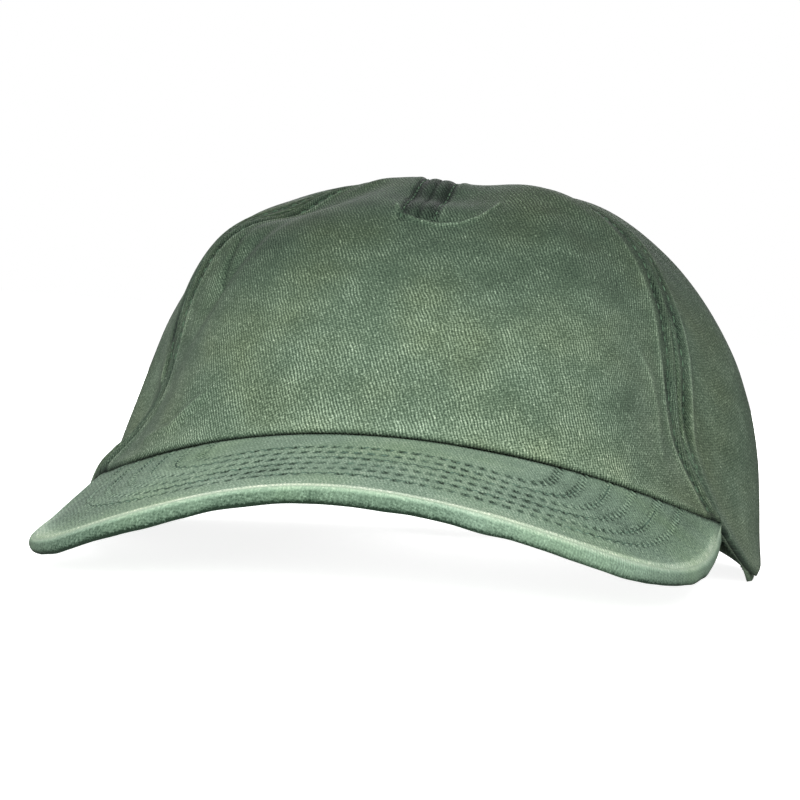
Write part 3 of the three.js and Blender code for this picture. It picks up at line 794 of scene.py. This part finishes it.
def peak_relief(x, y, edge):
    """Lift, paleness and painted shade of the peak's cloth, edge mm in from its outer edge"""
    place = np.stack([x, y, 0 * x], axis=-1)
    row = nearest_row(x, y)
    whole = np.clip(np.round(row), 1, 6)
    d = np.abs(row - whole) * ROW_GAP
    press = stitched(along_row(x, y, whole)) ** 0.8
    uneven = 0.8 + 0.5 * unevenness(place, 7, 21)
    sewn = smoothstep(6.6 - row, 0, 0.5) * smoothstep(row - 0.3, 0, 0.4)
    at_ends = smoothstep(np.abs(x), 32, 52)
    lift = 0.05 * bump(d - 2.6, 1.4) - 0.3 * uneven * press * bump(d, 0.9) + 0.14 * (1 - press) * bump(d, 1.0)
    dash = smoothstep(press, 0.2, 0.65) * (1 - smoothstep(d, 0.8, 1.5))
    # painted shade: a dark dash in the hollow of each stitch and a faint band along each row, weaker towards the ends
    shade = sewn * (1 - 0.55 * at_ends) * (0.35 * uneven * dash + 0.04 * bump(d, 2.0))
    wear_and_light = sewn * ((0.15 + 0.1 * at_ends) * (1 - press) * bump(d, 0.9) + 0.03 * bump(d - 2.6, 1.2))
    lift = sewn * lift + RIDGE_HEIGHT * bump(edge - RIDGE_IN, 1.2) - 0.15 * bump(edge - 6, 2.5)
    lift = lift + 0.1 * unevenness(place, 12, 22)
    fuzzy = 1 + 0.2 * unevenness(place, 2.5, 23)
    at_right = smoothstep(-x, 25, 65)
    rubbed = np.where(x < 0, smoothstep(-y, 80, 118), smoothstep(-y, 55, 75))
    pale = 0.24 * fuzzy * bump(edge - 0.6 - 1.2 * at_right, 1.5 + 1.7 * at_right) + 0.1 * bump(edge - 1.0, 4.2)
    wear_and_light = wear_and_light + rubbed * pale
    # painted shade: darker towards both tips, and a little darker further in from the edge
    shade = shade + 0.05 * smoothstep(np.abs(x), 25, 60) + 0.11 * smoothstep(np.abs(x), 30, 70)
    shade = shade + 0.04 * smoothstep(edge, 6, 12)
    return lift, wear_and_light, shade


# %% The peak's cloth
UNDER, RIM, OVER = 0.3, 0.42, 0.985  # the shares of v where the under face, the rim and the upper face end


def peak_lay(u, v):
    """v runs along the under face, round the rim, back over the upper face and down the hidden inner edge"""
    out_x, out_y, run = outline(u)
    in_x, in_y = hem_place((u - 0.5) * 2 * PEAK_IN)
    gap = np.hypot(out_x - in_x, out_y - in_y)
    near_end = np.minimum(gap / 5, 1)
    tucked = 1.4 * near_end / np.maximum(gap, 0.01)
    in_x, in_y = in_x + (in_x - out_x) * tucked, in_y + (in_y - out_y) * tucked
    share = np.clip(np.where(v < UNDER, v / UNDER, (OVER - v) / (OVER - RIM)), 0, 1)
    share = np.where((v >= UNDER) & (v <= RIM), 1, share)
    x, y = in_x + (out_x - in_x) * share, in_y + (out_y - in_y) * share
    turn = np.clip((v - UNDER) / (RIM - UNDER), 0, 1)
    edge = (1 - share) * gap
    lift, wear_and_light, shade = peak_relief(x, y, edge)
    above, on_rim = v >= RIM, (v > UNDER) & (v < RIM)
    away = np.stack([out_x, out_y - CORNER_Y])
    away = away / np.maximum(np.hypot(*away), 0.01)
    wavy = 0.3 * unevenness(np.stack([run, 0 * run, 0 * run], axis=-1), 7, 31)
    thick = PEAK_THICK - 1.5 * smoothstep(-out_x, 60, 72) * smoothstep(share, 0.5, 1)
    drop = np.where(above, 0, (thick + wavy) * (1 - turn))
    drop = np.where(v > OVER, PEAK_THICK * (v - OVER) / (1 - OVER), drop)
    lip = RIDGE_HEIGHT * bump(RIDGE_IN, 1.2) * turn**3
    z = peak_height(x, y) - drop + np.where(above, lift * near_end, lip)
    bulge = near_end * 0.95 * np.sin(turn * math.pi) ** 0.7 * (0.75 + 0.25 * turn)
    points = np.stack([x + away[0] * bulge, y + away[1] * bulge, z], axis=-1)
    pattern = np.stack([x + np.where(v <= UNDER, 700, 200), y + 300], axis=-1)
    round_rim = np.stack([run + 500, 300 + PEAK_THICK * (1 - turn)], axis=-1)
    pattern = np.where(on_rim[..., None], round_rim, pattern)
    worn_lip = smoothstep(turn, 0.68, 1)
    rim_wear = 0.02 * turn + 0.2 * worn_lip + 0.06 * wavy
    # painted shade on the rim, less to the right and up towards its rubbed lip, with a painted shadow line along its
    # lower edge
    rim_shade = (0.25 - 0.13 * smoothstep(x, 10, 50)) * (1 - 0.6 * worn_lip) + 0.3 * bump(turn, 0.22)
    wear_and_light = np.where(above, wear_and_light, np.where(on_rim, rim_wear, 0))
    # painted shade: the under face is darker
    shade = np.where(above, shade, np.where(on_rim, rim_shade, 0.12))
    # painted shadow along the line where the crown meets the peak
    junction = bump(np.hypot(x - in_x, y - in_y), 1.2) * above
    return points, pattern, {"wear_and_light": wear_and_light, "shade": shade + 0.3 * junction, "ribs": np.where(on_rim, 0.0, 0.9)}


peak = lay_grid("peak_cloth", 430, 200, peak_lay)
merge_doubles(peak)
finish(peak, peak_twill, "peak_twill", "peak")


# %% The peak's stitching
def peak_row(row, below=False):
    x, y, _ = row_curve(row)
    hem_y = -HEM_LENGTH * np.sqrt(np.maximum(1 - (x / HEM_WIDTH) ** 2, 0))
    seen = y < hem_y - 1.0
    x, y = x[seen], y[seen]
    lift = peak_relief(x, y, 0 * x + 20)[0]
    z = peak_height(x, y) + (0.1 - PEAK_THICK if below else lift - 0.12)
    slope_x = (peak_height(x + 1, y) - peak_height(x - 1, y)) / 2
    slope_y = (peak_height(x, y + 1) - peak_height(x, y - 1)) / 2
    up_there = unit(np.stack([-slope_x, -slope_y, 0 * x + 1], axis=-1))
    return np.stack([x, y, z], axis=-1), -up_there if below else up_there


sew("peak_stitching", [peak_row(row) for row in range(1, 7)], peak_thread, "peak_twill")
sew("peak_stitching_below", [peak_row(row, True) for row in range(1, 7)], peak_thread, "peak_twill")

# %% [markdown]
# ## Sweatband and inside tapes
# A folded band of twill runs round the inside of the hem and shows as a thin line below it. Narrow tapes
# cover the raw edges of the panel seams inside. Both are strips that follow the inner face of the crown.
# They could be cut and shrink-wrapped, but the formula of the crown, a little deeper, places them exactly.

# %% Sweatband
BAND_DEPTH, BAND_THICK, BAND_HIGH, BAND_SEWN = 1.8, 1.2, 30, (2.2, 27.8)
BAND_END = back_turn(52)  # it ends 52 mm from the middle of the back, clear of the opening


def lay_band(u, v, depth):
    turn, high = (u * 2 - 1) * BAND_END, v * BAND_HIGH
    climb = climb_at_height(turn, high)
    inward = depth + np.maximum(0, -fold_depth(turn, climb)) + 0.25 * bump(high - 15, 12)
    point = raised(turn, climb, -inward)
    steep = smoothstep(np.abs(turn), 60, 63) * (1 - smoothstep(np.abs(turn), 74, 85))
    behind = hem_height(turn) - 1.1 + 3.4 * steep
    low = np.minimum(peak_height(point[..., 0], point[..., 1]) - PEAK_THICK - 1.2, behind)
    low = np.maximum(0.9, low + (behind - low) * smoothstep(np.abs(turn), FRONT_SEAM - 2, FRONT_SEAM + 1.5))
    point[..., 2] += (low - smooth_point(turn, 0 * climb)[..., 2]) * np.clip(1 - v / 0.25, 0, 1) ** 2
    # painted shade along the rows of stitches
    sewn = sum(bump(high - row, 0.6) for row in BAND_SEWN)
    pattern = np.stack([np.radians(turn) * 92 + 300, high], axis=-1)
    return point, pattern, {"wear_and_light": 0.1 * bump(high, 1.2), "shade": 0.12 * sewn, "ribs": 0 * u + 0.8}


band = lay_grid("sweatband_cloth", 420, 30, lambda u, v: lay_band(u, v, BAND_DEPTH))
apply_modifier(band, "SOLIDIFY", thickness=BAND_THICK * MM, offset=-1)
finish(band, band_twill, "band_twill", "sweatband")


def band_row(height):
    share = np.linspace(0.01, 0.99, 500)
    point = lay_band(share, 0 * share + height / BAND_HIGH, BAND_DEPTH + BAND_THICK + 0.05)[0]
    turn = (share * 2 - 1) * BAND_END
    return point, -outward(turn, climb_at_height(turn, 0 * turn + height))


sew("sweatband_stitching", [band_row(height) for height in BAND_SEWN], seam_thread, "band_twill")


# %% Tapes over the seams inside
TAPE_WIDE = 11


def lay_tape(seam, first):
    def lay(u, v):
        climb = first + (0.9 - first) * v
        speed = mm_per_degree(seam + 0 * climb, climb)
        across = (u - 0.5) * TAPE_WIDE * np.minimum(1, (1 - v) * 4 + 0.45)
        turn = seam_turn(seam, climb) + across / speed
        turn = wrapped(turn)
        point = raised(turn, climb, fold_depth(turn, climb) - 2.5 - 0.5 * bump(across, 3))
        # painted shade along the rows of stitches
        sewn = bump(np.abs(across) - SEWN_AWAY, 0.5)
        return point, np.stack([across + 50, climb * CLOTH_UP + 40], axis=-1), {
            "wear_and_light": 0.1 * bump(np.abs(across) - 5.4, 0.4), "shade": 0.15 * sewn, "ribs": 0 * u + 0.8}
    return lay


for number, seam in enumerate((-SIDE_SEAM, -FRONT_SEAM, FRONT_SEAM, SIDE_SEAM, 180.0), start=1):
    first = float(climb_at_height(np.array(seam), 44.0 if seam == 180 else 28.0))
    tape = lay_grid(f"seam_tape_{number}", 14, 90, lay_tape(seam, first))
    apply_modifier(tape, "SOLIDIFY", thickness=0.0005, offset=-1)
    finish(tape, band_twill, "band_twill")

# %% [markdown]
# ## The opening at the back
# The arch of the opening is bound with a folded strip of the same cloth, stitched once all round. It could be
# swept along a curve with a bevel profile, but then its weave wouldn't follow it, so it is laid as a grid: u
# goes along the arch, and v goes from the outside, round the edge, to the inside.

# %% Binding of the opening
BINDING_WIDE, BINDING_SEWN, BINDING_TURN = 6.2, 4.4, 0.16  # mm, mm, and the share of v that goes round the edge


def arch_place(angle, away):
    """Turn and climb at a distance of away mm from the edge of the opening, into the cloth"""
    distance, height = (OPEN_HALF + away) * np.cos(angle), (OPEN_HEIGHT + away) * np.sin(angle)
    turn = wrapped(back_turn(distance))
    return turn, climb_at_height(turn, height)


def binding_point(angle, v):
    side = np.clip((v - 0.5) * 2, -1, 1)
    bent = np.clip(side / BINDING_TURN, -1, 1) * math.pi / 2
    away = BINDING_WIDE * np.maximum(np.abs(side) - BINDING_TURN, 0) / (1 - BINDING_TURN) - 0.5 * np.cos(bent)
    turn, climb = arch_place(angle, away)
    lift = -0.65 - 1.15 * np.sin(bent) + np.sign(side) * 0.35 * bump(np.abs(side) - 1, 0.06)
    return crown_point(turn, climb)[0] + outward(turn, climb) * lift[..., None], away, turn, climb


def lay_binding(u, v):
    angle = (0.015 + 0.97 * u) * math.pi
    point, away, _, _ = binding_point(angle, v)
    pattern = np.stack([angle * 38 + 20, away * np.sign(v - 0.5) + 40], axis=-1)
    wear_and_light = 0.14 * bump(away + 0.4, 0.6) + 0.12 * bump(away - 6.0, 0.4)
    # painted shade along the row of stitches
    return point, pattern, {"wear_and_light": wear_and_light, "shade": 0.18 * bump(away - BINDING_SEWN, 0.7), "ribs": 0 * u + 0.8}


binding = lay_grid("opening_binding", 220, 48, lay_binding)
apply_modifier(binding, "SOLIDIFY", thickness=0.0004, offset=-1)
finish(binding, band_twill, "band_twill")


def binding_row(v):
    angle = np.linspace(0.03, 0.97, 300) * math.pi
    point, _, turn, climb = binding_point(angle, 0 * angle + v)
    return point, outward(turn, climb) * (1 if v < 0.5 else -1)


AT_STITCHES = 0.5 - 0.5 * (BINDING_TURN + (1 - BINDING_TURN) * BINDING_SEWN / BINDING_WIDE)
sew("binding_stitching", [binding_row(AT_STITCHES), binding_row(1 - AT_STITCHES)], seam_thread, "band_twill")

# %% [markdown]
# ## Strap and buckle
# The size strap is a flat tube of twill, edge-stitched on both sides. It is sewn inside the crown at both
# ends and passes over the middle bar of a slide buckle, where it bulges. The buckle is stamped from sheet
# brass. Its CAD mesh has the right form but sharp edges, so a merged copy gets a bevel and stands for it.

# %% Strap
def strap_point(distance, height, depth):
    turn = back_turn(distance)
    climb = climb_at_height(turn, height - hem_height(turn))
    return raised(turn, climb, -depth), outward(turn, climb)


def strap_lift(distance):
    return 3.5 * np.exp(-(((distance + 10) / 4.5) ** 4))


STRAP_LOW, STRAP_WIDE, STRAP_DEPTH, STRAP_HALF = 7.2, 17.8, 2.0, 48


def lay_strap(u, v):
    distance = STRAP_HALF * (1 - 2 * u)
    from_edge = STRAP_WIDE / 2 - np.abs(v - 0.5) * STRAP_WIDE
    soft = 0.25 * unevenness(np.stack([distance, v * 6, 0 * u], axis=-1), 9, 51) - 0.25 * bump(from_edge - 2, 0.6)
    point = strap_point(distance, STRAP_LOW + STRAP_WIDE * v, STRAP_DEPTH - strap_lift(distance) - soft)[0]
    # painted shade along the rows of stitches near the edges
    return point, np.stack([distance + 90, v * STRAP_WIDE], axis=-1), {
        "wear_and_light": 0.2 * bump(from_edge, 0.7), "shade": 0.15 * bump(from_edge - 2, 0.6), "ribs": 0 * u + 0.8}


strap = lay_grid("strap_cloth", 260, 36, lay_strap)
apply_modifier(strap, "SOLIDIFY", thickness=CLOTH_THICK * MM, offset=-1)
finish(strap, band_twill, "band_twill", "strap")


def strap_row(height):
    distance = np.linspace(STRAP_HALF - 2, 2 - STRAP_HALF, 300)
    return strap_point(distance, STRAP_LOW + height, STRAP_DEPTH - strap_lift(distance) + 0.2)


sew("strap_stitching", [strap_row(2.0), strap_row(STRAP_WIDE - 2.0)], seam_thread, "band_twill")


# %% Rows that hold the ends of the strap, through the crown
def on_back(distances, heights):
    steps = np.linspace(0, 1, 40)
    distance = np.interp(steps, np.linspace(0, 1, len(distances)), distances)
    height = np.interp(steps, np.linspace(0, 1, len(heights)), heights)
    turn = wrapped(back_turn(distance))
    climb = climb_at_height(turn, height - hem_height(turn))
    return crown_point(turn, climb)[0], outward(turn, climb)


box_rows = []  # a box of stitches at each end, from 40.5 to 46 mm from the middle and 10 to 22 mm up
for side in (-1, 1):
    near, far, low, high = side * 40.5, side * 46, 10, 22
    box_rows += [on_back((near, near), (low, high)), on_back((far, far), (low, high)),
                 on_back((near, far), (low, low)), on_back((near, far), (high, high))]
sew("strap_end_stitching", box_rows, seam_thread, "crown_twill", pitch=2.75)


# %% Buckle
def antique_brass():
    """Stamped sheet brass, antiqued: brown in its pores and brushed bright where hands have rubbed it"""
    material, tree = blank_material("antiqued sheet brass")
    place = node(tree, "ShaderNodeTexCoord").outputs["Object"]
    wear_and_highlight = node(tree, "ShaderNodeTexNoise", {
        "Vector": place, "Scale": 180.0, "Detail": 6.0, "Roughness": 0.65}).outputs["Fac"]
    ramp = node(tree, "ShaderNodeValToRGB", {0: wear_and_highlight})
    ramp.color_ramp.elements[0].position, ramp.color_ramp.elements[1].position = 0.36, 0.62
    ramp.color_ramp.elements[0].color, ramp.color_ramp.elements[1].color = linear("#4a3a22"), linear("#a98f57")
    stretched = node(tree, "ShaderNodeMapping", {"Vector": place, "Scale": (400, 400, 9000)}).outputs[0]
    brushed = node(tree, "ShaderNodeTexNoise", {"Vector": stretched, "Scale": 1.0, "Detail": 2.0}).outputs["Fac"]
    rough = node(tree, "ShaderNodeMapRange", {0: wear_and_highlight, 3: 0.55, 4: 0.3}).outputs[0]
    relief = node(tree, "ShaderNodeBump", {"Height": brushed, "Strength": 0.25, "Distance": 0.00005}).outputs[0]
    shader = node(tree, "ShaderNodeBsdfPrincipled", {
        "Base Color": ramp.outputs[0], "Metallic": 1.0, "Roughness": rough, "Normal": relief})
    node(tree, "ShaderNodeOutputMaterial", {"Surface": shader.outputs[0]})
    return material


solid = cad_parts["buckle"]
buckle = bpy.data.objects.new("buckle_brass", solid.data.copy())
buckle.data.transform(solid.matrix_world)
bpy.context.scene.collection.objects.link(buckle)
merge_doubles(buckle)
apply_modifier(buckle, "BEVEL", width=0.00045, segments=3, limit_method="ANGLE", angle_limit=math.radians(50))
finish(buckle, antique_brass(), "antique_brass", "buckle")
bpy.ops.object.shade_smooth_by_angle(angle=math.radians(40))

# %% [markdown]
# ## Button
# A tin button covered with a disc of the cap's cloth closes the top, where the panels meet. The cloth is
# gathered under its rim. A sphere could be flattened, but a profile turned round the middle also gives the
# small pleats and the shank, so the profile is laid as a grid, and its seam and poles are merged.

# %% Button
BUTTON_RADIUS, BUTTON_SEAT, PLEATS = 7.35, TOP - TOP_DIP, 14


def lay_button(u, v):
    angle = u * 2 * math.pi
    dome = np.clip(v / 0.5, 0, 1) * math.pi / 2
    under = np.clip((v - 0.5) / 0.2, 0, 1)
    shank = np.clip((v - 0.7) / 0.15, 0, 1)
    foot = np.clip((v - 0.85) / 0.15, 0, 1)
    radius = BUTTON_RADIUS * np.sin(dome) ** 0.95 - 3.45 * under**1.4
    height = 1.9 + 2.55 * np.cos(dome) ** 0.85 - 1.0 * under**0.6 - 3.3 * shank
    radius = radius * (1 - foot)
    radius = radius + np.sin(angle * PLEATS) * (0.16 * bump(v - 0.6, 0.09) + 0.05 * bump(v - 0.48, 0.05))
    uneven = 0.06 * unevenness(np.stack([radius * np.cos(angle), radius * np.sin(angle), height], axis=-1), 3, 61)
    x, y = radius * np.cos(angle), radius * np.sin(angle)
    points = np.stack([x, APEX_Y + y, BUTTON_SEAT + height + uneven * (v < 0.5)], axis=-1)
    run = v * 22
    pattern = np.stack([np.cos(angle) * run + 40, np.sin(angle) * run + 40], axis=-1)
    # painted shade under the button's rim and round its shank
    return points, pattern, {
        "wear_and_light": 0.16 * bump(v - 0.42, 0.07) * (v > 0), "shade": 0.35 * smoothstep(v, 0.52, 0.62), "ribs": 0 * u + 1}


button = lay_grid("button_cloth", 112, 60, lay_button)
merge_doubles(button)
bpy.ops.object.mode_set(mode="EDIT")
bpy.ops.mesh.select_all(action="SELECT")
bpy.ops.mesh.normals_make_consistent(inside=False)
bpy.ops.object.mode_set(mode="OBJECT")
finish(button, crown_twill, "crown_twill", "button")

# %% [markdown]
# ## Studio
# A plain pale floor under soft light. The photograph is lit from in front and a little above by a wide
# soft lamp, so the cloth that faces the camera is bright and the sides and the top fall off; painted shade
# on the crown darkens its top and sides further.

# %% Floor, surroundings and lamps
bpy.ops.object.select_all(action="DESELECT")
bpy.ops.mesh.primitive_plane_add(size=30)
floor = bpy.context.object
floor.name = "floor"
paper, tree = blank_material("white paper floor")
seen = node(tree, "ShaderNodeLightPath").outputs["Is Camera Ray"]
glow = node(tree, "ShaderNodeMath", {0: seen, 1: 0.78, 2: 0.1}, operation="MULTIPLY_ADD").outputs[0]
shader = node(tree, "ShaderNodeBsdfPrincipled", {
    "Base Color": (0.8, 0.8, 0.8, 1), "Roughness": 0.9, "Emission Color": (1, 1, 1, 1), "Emission Strength": glow})
node(tree, "ShaderNodeOutputMaterial", {"Surface": shader.outputs[0]})
floor.data.materials.append(paper)

world = bpy.data.worlds.new("studio")
bpy.context.scene.world = world
world.use_nodes = True
tree = world.node_tree
tree.nodes.clear()
seen = node(tree, "ShaderNodeBackground", {0: (1, 1, 1, 1), 1: 1.0}).outputs[0]
lights = node(tree, "ShaderNodeBackground", {0: (1, 1, 1, 1), 1: 0.24}).outputs[0]
direct = node(tree, "ShaderNodeLightPath").outputs["Is Camera Ray"]
mixed = node(tree, "ShaderNodeMixShader", {0: direct, 1: lights, 2: seen}).outputs[0]
node(tree, "ShaderNodeOutputWorld", {0: mixed})


def soft_light(name, place, aim, width, watts):
    data = bpy.data.lights.new(name, "AREA")
    data.shape, data.size, data.energy = "DISK", width, watts
    lamp = bpy.data.objects.new(name, data)
    bpy.context.scene.collection.objects.link(lamp)
    lamp.location = place
    lamp.rotation_euler = (Vector(aim) - Vector(place)).to_track_quat("-Z", "Y").to_euler()


soft_light("key light", (0.12, -1.4, 0.55), (0, 0, 0.04), 0.7, 37)
soft_light("back light", (-0.2, 1.4, 0.5), (0, 0, 0.04), 0.9, 22)
bpy.context.scene.view_settings.view_transform = "Standard"
print("studio: a soft key light, pale surroundings")
